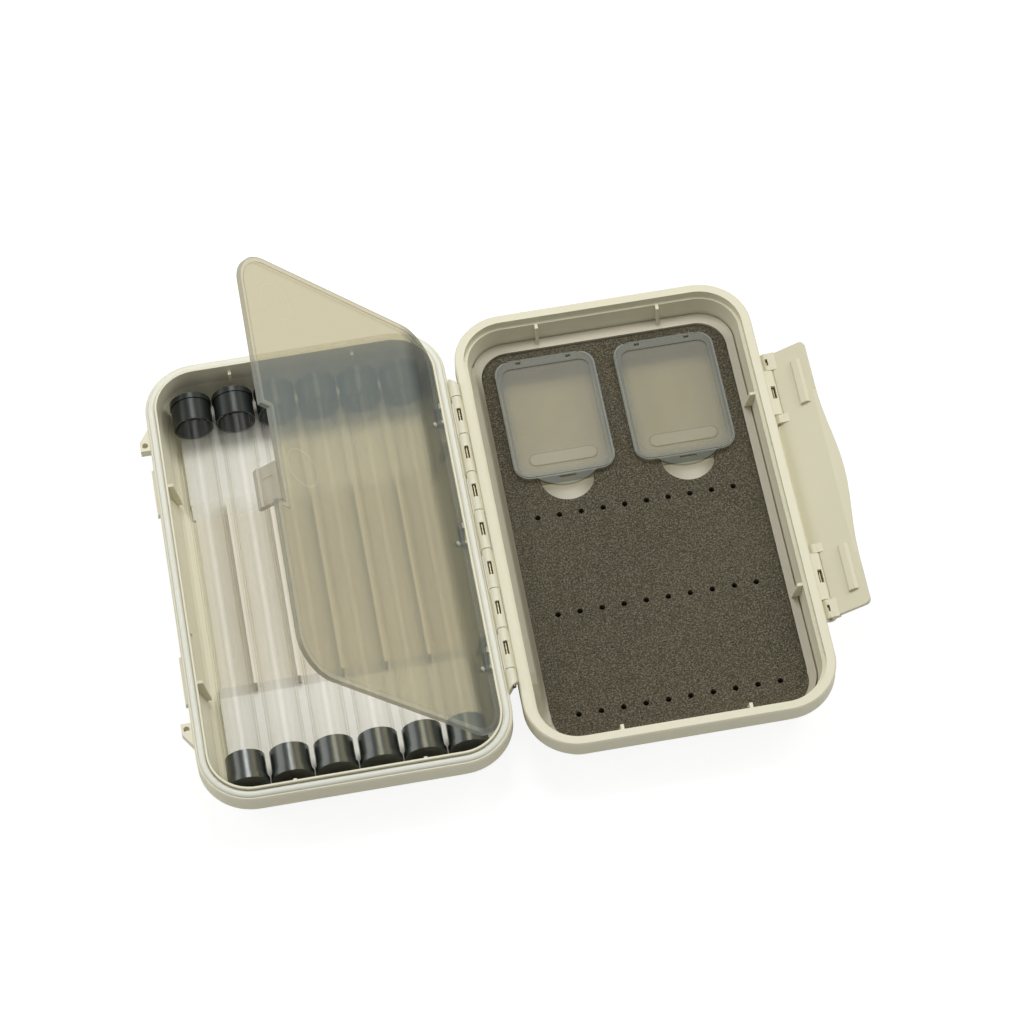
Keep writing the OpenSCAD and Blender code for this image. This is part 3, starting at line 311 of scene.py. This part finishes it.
def tray(name, ledge_height):
    """Cream tray: a dull ledge round the foam, a pale pocket under it.

    The ledge carries painted light along its far side, and painted shade beside the foam on its
    hinge side. Each pair of places is the start and the end of a soft edge.
    """
    n = Nodes(name)
    ledge_shade, ledge_tone = (0.38, 0.35, 0.255), (0.41, 0.38, 0.28)
    far_light_tone, foot_shade_tone, pocket_tone = (0.55, 0.51, 0.39), (0.13, 0.118, 0.08), (0.77, 0.745, 0.655)
    far_y, far_x = (0.06, 0.067), (0.066, 0.08)
    hinge_x, hinge_y, foot_depth = (0.060, 0.068), (0.05, 0.058), (-0.0022, -0.0004)
    x, y = n.axis(0), n.axis(1)
    depth = n.depth(x, y, FOAM_LOW, FOAM_HIGH, FOAM_CORNER)
    far = n.math("MULTIPLY", n.span(y, *far_y), n.span(x, *far_x))
    hinge = n.math("MULTIPLY", n.span(x, *hinge_x, 1.0, 0.0), n.span(y, *hinge_y, 1.0, 0.0))
    below = n.span(n.axis(2), ledge_height - 0.0006, ledge_height - 0.0014)
    pocket = n.math("MULTIPLY", n.span(depth, 0.001, 0.002), below)
    # painted light: the ledge lighter along its far side
    tone = n.blend(far, n.cloud(ledge_shade, ledge_tone), far_light_tone)
    # painted shade: the ledge darker at the foam on its hinge side
    tone = n.blend(n.math("MULTIPLY", hinge, n.span(depth, *foot_depth)), tone, foot_shade_tone)
    tone = n.blend(pocket, tone, pocket_tone)
    return moulded(n, tone, (0.4, 0.5), relief=0.3, shine=0.5)


def cap(name, gloss, coat):
    """Near-black plastic with a soft wide highlight."""
    n = Nodes(name)
    dark, light, green_tint = (0.007, 0.009, 0.008), (0.011, 0.014, 0.012), (0.93, 1.0, 0.92)
    fine_scale, fine_depth = 500.0, 0.00002
    fine = n.noise(fine_scale, 2.0, 0.6)
    body = n.add("BsdfPrincipled", Base_Color=n.cloud(dark, light, scale=40.0, detail=2.0))
    n.put(body, "Roughness", n.span(fine, 0.3, 0.7, 0.3, 0.38))
    n.put(body, "Specular IOR Level", gloss)
    n.put(body, "Specular Tint", green_tint)
    n.put(body, "Coat Weight", coat)
    n.put(body, "Coat Roughness", 0.2)
    n.put(body, "Normal", n.bump(fine, 0.15, fine_depth))
    return n.finish(body.outputs[0])


def metal(name):
    """Dull warm steel."""
    n = Nodes(name)
    body = n.add("BsdfPrincipled", Base_Color=(0.21, 0.18, 0.11))
    n.put(body, "Metallic", 1.0)
    n.put(body, "Roughness", n.span(n.noise(300.0), 0.3, 0.7, 0.25, 0.4))
    return n.finish(body.outputs[0])


# Materials on the CAD nodes

CREAM = plastic("case_cream", (0.74, 0.705, 0.53), (0.71, 0.675, 0.50))
BASE = base_cream("base_cream", (0.75, 0.715, 0.545), (0.72, 0.685, 0.515))
# painted shade: the latch plate is a darker copy of the case's cream
LATCH_SHADED = plastic("latch_cream_shaded", (0.685, 0.65, 0.475), (0.66, 0.625, 0.45))
DIVIDER = plastic("divider_cream", (0.70, 0.655, 0.53), (0.66, 0.62, 0.50))
TRAY = tray("tray_cream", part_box("foam_tray")[1][2])
BEAD = plastic("bead_smoky", (0.44, 0.43, 0.355), (0.40, 0.39, 0.32), (0.2, 0.31))
# pad bevels: painted light on the far one, painted shade on the near one
LIT_SLOPE = plastic("slope_painted_light", (0.88, 0.86, 0.77), (0.85, 0.83, 0.74))
SHADED_SLOPE = plastic("slope_painted_shade", (0.62, 0.60, 0.53), (0.59, 0.57, 0.50))
WHITE = plastic("pad_white", (0.71, 0.695, 0.61), (0.68, 0.665, 0.58))
SEAL = plastic("seal_white", (0.80, 0.80, 0.70), (0.77, 0.77, 0.67), (0.45, 0.56))
BLACK = cap("cap_black", 0.8, 0.7)
# painted shade: the stoppers are the caps' black with a weaker highlight
STOPPER_SHADED = cap("stopper_black_shaded", 0.35, 0.15)
STEEL = metal("pin_steel")
LEAF = leaf_look("leaf_frosted")
CLIP = frosted("clip_frosted", (0.66, 0.62, 0.5), (0.40, 0.37, 0.29), 0.6)
COMP_BOX = frosted("compartment_clear", (0.9, 0.89, 0.82), (0.6, 0.6, 0.52), 0.2)
CLEAR = clear_tube("tube_clear")
FOAM = foam("foam_grey")


def compartment_lid_look(side):
    """Beige see-through middle, a slate border of painted shade with a fine painted highlight, and
    a clearer pull tab.
    """
    n = Nodes(f"compartment_frosted_{side}")
    low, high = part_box(f"compartment_lid_{side}")
    tab, corner, border = 0.0037, 0.0052, 0.0045
    oval, oval_edge = (0.0215, 0.0044), 0.0064
    border_shade_tone, middle_tone = (0.16, 0.185, 0.165), (0.45, 0.435, 0.35)
    edge_highlight_tone, dark_line = (0.46, 0.48, 0.44), (0.2, 0.2, 0.15)
    border_cover, middle_cover, oval_cover, tab_share = 0.5, 0.34, 0.07, 0.65
    depth = n.depth(n.axis(0), n.axis(1), (low[0], low[1] + tab), high, corner)
    inner = n.span(depth, 0.0004, border)
    edge_highlight = n.line(depth, 0.0003, 0.0005)
    middle = (low[0] + high[0]) / 2
    oval_low = (middle - oval[0] / 2, low[1] + tab + oval_edge - oval[1] / 2)
    oval_high = (middle + oval[0] / 2, low[1] + tab + oval_edge + oval[1] / 2)
    oval_depth = n.depth(n.axis(0), n.axis(1), oval_low, oval_high, oval[1] / 2)
    raised = n.span(oval_depth, -0.0002, 0.0003)
    oval_line = n.line(oval_depth, 0.0, 0.0004)
    # painted shade: the slate border; painted highlight: the light line along the edge
    milky = n.blend(inner, border_shade_tone, middle_tone)
    milky = n.blend(n.math("MULTIPLY", edge_highlight, 0.6), milky, edge_highlight_tone)
    milky = n.blend(n.math("MULTIPLY", oval_line, 0.5), milky, dark_line)
    cover = n.math("ADD", n.span(inner, 0.0, 1.0, border_cover, middle_cover),
                   n.math("MULTIPLY", raised, oval_cover))
    cover = n.math("MULTIPLY", cover, n.span(depth, -0.0004, 0.0, tab_share, 1.0))
    return thin_sheet(n, (0.8, 0.76, 0.62), milky, cover)


LOOKS = {
    "base_shell": BASE, "lid_shell": CREAM, "latch_plate": LATCH_SHADED,
    "foam_tray": TRAY, "tube_divider": DIVIDER,
    "rest_pad_far": WHITE, "rest_pad_near": WHITE, "rim_seal": SEAL,
    "hinge_pin": STEEL, "latch_pin_far": STEEL, "latch_pin_near": STEEL,
    "leaf_panel": LEAF, "leaf_clip": CLIP, "leaf_pins": CLEAR,
    "compartment_lid_left": compartment_lid_look("left"),
    "compartment_lid_right": compartment_lid_look("right"),
    "compartment_box_left": COMP_BOX, "compartment_box_right": COMP_BOX,
    "foam_pad": FOAM,
}
for index in range(1, 7):
    LOOKS[f"tube_{index}"] = CLEAR
    LOOKS[f"stopper_{index}"] = STOPPER_SHADED
    LOOKS[f"cap_{index}"] = BLACK
for node_name, material in LOOKS.items():
    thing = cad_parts[node_name]
    thing.data.materials.clear()
    thing.data.materials.append(material)

# Light passes the clear pieces without a shadow
for node_name in ["leaf_panel", "leaf_clip"] + [f"tube_{index}" for index in range(1, 7)]:
    clear_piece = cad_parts[node_name]
    clear_piece.visible_shadow = False
    clear_piece.visible_diffuse = False

# Small forms that ride the CAD bodies


def solid(name, verts, faces, look):
    """Closed piece from points and faces, with its faces turned outward."""
    mesh = bpy.data.meshes.new(name)
    mesh.from_pydata(verts, [], faces)
    skin = bmesh.new()
    skin.from_mesh(mesh)
    bmesh.ops.recalc_face_normals(skin, faces=skin.faces)
    skin.to_mesh(mesh)
    skin.free()
    mesh.materials.append(look)
    piece = bpy.data.objects.new(name, mesh)
    bpy.context.scene.collection.objects.link(piece)
    return piece


def skin_over(rings):
    """Points and faces of a closed skin through rings of the same number of points."""
    count, last = len(rings[0]), len(rings[0]) * (len(rings) - 1)
    verts = [place for ring in rings for place in ring]
    faces = [tuple(range(count)), tuple(range(last, last + count))]
    for first in range(0, last, count):
        for k in range(count):
            after = (k + 1) % count
            faces.append((first + k, first + count + k, first + count + after, first + after))
    return verts, faces


def foam_edge():
    """Strip between the foam's near outline and the same outline a little further out."""
    lap, reach, sunk, rise, steps = 0.0004, 0.0035, 0.0001, 0.00105, 12
    bottom, top = FOAM_HIGH[2] - sunk, FOAM_HIGH[2] + rise
    middle_y, tight = FOAM_LOW[1] + FOAM_CORNER, FOAM_CORNER - lap
    arcs = ((FOAM_LOW[0] + FOAM_CORNER, math.pi), (FOAM_HIGH[0] - FOAM_CORNER, 1.5 * math.pi))
    rings = []
    for middle_x, start in arcs:
        for step in range(steps + 1):
            turn = start + 0.5 * math.pi * step / steps
            side, near = math.cos(turn), math.sin(turn)
            inner = (middle_x + tight * side, middle_y + tight * near)
            outer = (middle_x + FOAM_CORNER * side, middle_y + FOAM_CORNER * near - reach)
            rings.append([(*inner, bottom), (*inner, top), (*outer, top), (*outer, bottom)])
    strip = solid("foam_edge", *skin_over(rings), FOAM)
    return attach(strip, "lid")


def pad_slope(node_name, outward, look):
    """Bevel at the inner end of a rest pad, down to the divider's plate."""
    low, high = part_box(node_name)
    plate_top, run, inset = 0.0029, 0.0045, 0.0002
    face = low[1] if outward < 0 else high[1]
    section = ((face, plate_top), (face, high[2]), (face + outward * run, plate_top))
    ends = (low[0] + inset, high[0] - inset)
    verts, faces = skin_over([[(x, y, z) for y, z in section] for x in ends])
    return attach(solid("slope_" + node_name, verts, faces, look), "base")


def side_wall_shade_look():
    """Cream in painted shade that deepens down the slope towards the foam, and not at the corners.
    """
    n = Nodes("side_wall_shaded_cream")
    wall_top_shade_tone, slope_shade_tone = (0.37, 0.34, 0.235), (0.32, 0.295, 0.205)
    foot_shade_tone, corner_shade_tone = (0.225, 0.205, 0.145), (0.395, 0.365, 0.27)
    slope_fade, foot_fade, corner_fade = (0.0547, 0.0565), (0.0574, 0.0588), (0.05, 0.062)
    across = n.axis(0)
    # painted shade: the cream darkens down the slope to the foam, less at the corners
    tone = n.blend(n.span(across, *slope_fade), wall_top_shade_tone, slope_shade_tone)
    tone = n.blend(n.span(across, *foot_fade), tone, foot_shade_tone)
    corner = n.span(n.math("ABSOLUTE", n.axis(1)), *corner_fade)
    tone = n.blend(corner, tone, corner_shade_tone)
    return moulded(n, tone, (0.45, 0.55), relief=0.3, shine=0.5)


def tray_side():
    """Rounded slope along the lid's hinge side, from the wall down to the foam.

    Towards each corner it sinks by the shares in fall, down to the foot's height.
    """
    foot, underside = 0.01042, 0.0102
    curve = ((0.05472, 0.0169), (0.0559, 0.0169), (0.0565, 0.0168), (0.057, 0.0158),
             (0.0574, 0.0142), (0.0578, 0.0127), (0.0583, 0.0114), (0.05872, 0.01072))
    fall = ((0.05, 1.0), (0.0535, 0.92), (0.0565, 0.7), (0.0595, 0.4), (0.0625, 0.14),
            (0.065, 0.02))
    rings = []
    for y, share in [(-y, share) for y, share in reversed(fall)] + list(fall):
        top = [(x, y, foot + (z - foot) * share) for x, z in curve]
        rings.append([(curve[0][0], y, underside), *top, (curve[-1][0], y, underside)])
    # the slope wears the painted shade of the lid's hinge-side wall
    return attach(solid("tray_side", *skin_over(rings), side_wall_shade_look()), "lid")


def leaf_bead(name, y):
    """Small round bead moulded on the leaf's face, a little way from its hinge edge."""
    out, lift, radius, rows, turns = 0.0044, 0.0011, 0.00095, 8, 16
    middle_x = LEAF_PIVOT[0] - out * math.cos(LEAF_REST) + lift * math.sin(LEAF_REST)
    middle_z = LEAF_PIVOT[1] + out * math.sin(LEAF_REST) + lift * math.cos(LEAF_REST)
    verts = [(middle_x, y, middle_z - radius)]
    for row in range(1, rows):
        slant = math.pi * row / rows
        for step in range(turns):
            turn = 2.0 * math.pi * step / turns
            verts.append((middle_x + radius * math.sin(slant) * math.cos(turn),
                          y + radius * math.sin(slant) * math.sin(turn),
                          middle_z - radius * math.cos(slant)))
    verts.append((middle_x, y, middle_z + radius))
    top = len(verts) - 1
    faces = []
    for step in range(turns):
        after = (step + 1) % turns
        faces.append((0, 1 + after, 1 + step))
        faces.append((top, top - turns + step, top - turns + after))
        for row in range(rows - 2):
            low, high = 1 + turns * row, 1 + turns * (row + 1)
            faces.append((low + step, low + after, high + after, high + step))
    bead = solid(name, verts, faces, BEAD)
    for face in bead.data.polygons:
        face.use_smooth = True
    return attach(bead, "leaf")


foam_edge()
tray_side()
for place, along in (("far", 0.0385), ("middle", -0.0050), ("near", -0.0490)):
    leaf_bead(f"leaf_bead_{place}", along)
# the far bevel carries painted light, the near bevel painted shade
pad_slope("rest_pad_far", -1, LIT_SLOPE)
pad_slope("rest_pad_near", 1, SHADED_SLOPE)

# Floor and backdrop, both white to the camera


def white_stage():
    """White to the camera with a trace of shadow, plain pale to the light."""
    n = Nodes("stage_white")
    glow_strength, trace_tone, matt_tone = 0.88, (0.22, 0.22, 0.22), (0.8, 0.8, 0.8)
    glow = n.add("Emission", Color=(1.0, 1.0, 1.0))
    glow.inputs["Strength"].default_value = glow_strength
    trace = n.add("BsdfDiffuse", Color=trace_tone)
    shown = n.tree.nodes.new("ShaderNodeAddShader")
    n.tree.links.new(glow.outputs[0], shown.inputs[0])
    n.tree.links.new(trace.outputs[0], shown.inputs[1])
    matt = n.add("BsdfDiffuse", Color=matt_tone)
    seen = n.add("LightPath").outputs["Is Camera Ray"]
    return n.finish(n.mix_shader(seen, matt.outputs[0], shown.outputs[0]))


FLOOR_SIZE, FLOOR_GAP = 6.0, 0.0002
bpy.ops.mesh.primitive_plane_add(size=FLOOR_SIZE, location=(0.05, 0.0, -FLOOR_GAP))
floor = bpy.context.object
floor.name = "stage_floor"
floor.data.materials.append(white_stage())

WORLD_STRENGTH = 0.37
world = bpy.data.worlds.new("studio")
bpy.context.scene.world = world
world.use_nodes = True
sky = world.node_tree
sky.nodes.clear()
sky_out = sky.nodes.new("ShaderNodeOutputWorld")
sky_mix = sky.nodes.new("ShaderNodeMixShader")
sky_path = sky.nodes.new("ShaderNodeLightPath")
sky_shown = sky.nodes.new("ShaderNodeMath")
sky_shown.operation = "MAXIMUM"
sky_light = sky.nodes.new("ShaderNodeBackground")
sky_seen = sky.nodes.new("ShaderNodeBackground")
sky_light.inputs["Strength"].default_value = WORLD_STRENGTH
for sky_part in (sky_light, sky_seen):
    sky_part.inputs["Color"].default_value = (1.0, 1.0, 1.0, 1.0)
sky.links.new(sky_path.outputs["Is Camera Ray"], sky_shown.inputs[0])
sky.links.new(sky_path.outputs["Is Transmission Ray"], sky_shown.inputs[1])
sky.links.new(sky_shown.outputs[0], sky_mix.inputs[0])
sky.links.new(sky_light.outputs[0], sky_mix.inputs[1])
sky.links.new(sky_seen.outputs[0], sky_mix.inputs[2])
sky.links.new(sky_mix.outputs[0], sky_out.inputs["Surface"])

# Light

MIDDLE = (0.05, 0.0, 0.0)
LAMPS = (
    # name, place, aimed at, size, watts
    ("key", (0.85, 0.35, 0.8), MIDDLE, 0.6, 4.2),
    ("back_top", (0.1, 0.52, 1.05), MIDDLE, 0.4, 5.0),
    ("left_fill", (-0.8, 0.3, 0.5), MIDDLE, 0.7, 2.8),
)
for lamp_name, place, aim, size, watts in LAMPS:
    data = bpy.data.lights.new(lamp_name, "AREA")
    data.size = size
    data.energy = watts
    lamp = bpy.data.objects.new(lamp_name, data)
    bpy.context.scene.collection.objects.link(lamp)
    lamp.location = place
    lamp.rotation_euler = (Vector(aim) - Vector(place)).to_track_quat("-Z", "Y").to_euler()

# Camera, solved from the photo

MM = 0.001
AZIMUTH = math.radians(7.62)
ELEVATION = math.radians(59.177)
ROLL = math.radians(-2.745)
EYE = Vector((-16.30, -558.10, 971.57)) * MM
LENS = 127.18

ahead = Vector((
    math.sin(AZIMUTH) * math.cos(ELEVATION),
    math.cos(AZIMUTH) * math.cos(ELEVATION),
    -math.sin(ELEVATION),
))
level = Vector((math.cos(AZIMUTH), -math.sin(AZIMUTH), 0.0))
upward = level.cross(ahead)
right = math.cos(ROLL) * level + math.sin(ROLL) * upward
top = -math.sin(ROLL) * level + math.cos(ROLL) * upward
cam_data = bpy.data.cameras.new("camera")
cam_data.sensor_width = 36.0
cam_data.lens = LENS
cam_data.clip_start = 0.01
cam_data.clip_end = 20.0
camera = bpy.data.objects.new("camera", cam_data)
bpy.context.scene.collection.objects.link(camera)
turn = Matrix((right, top, -ahead)).transposed().to_4x4()
camera.matrix_world = Matrix.Translation(EYE) @ turn
bpy.context.scene.camera = camera
bpy.context.scene.view_settings.view_transform = "Standard"
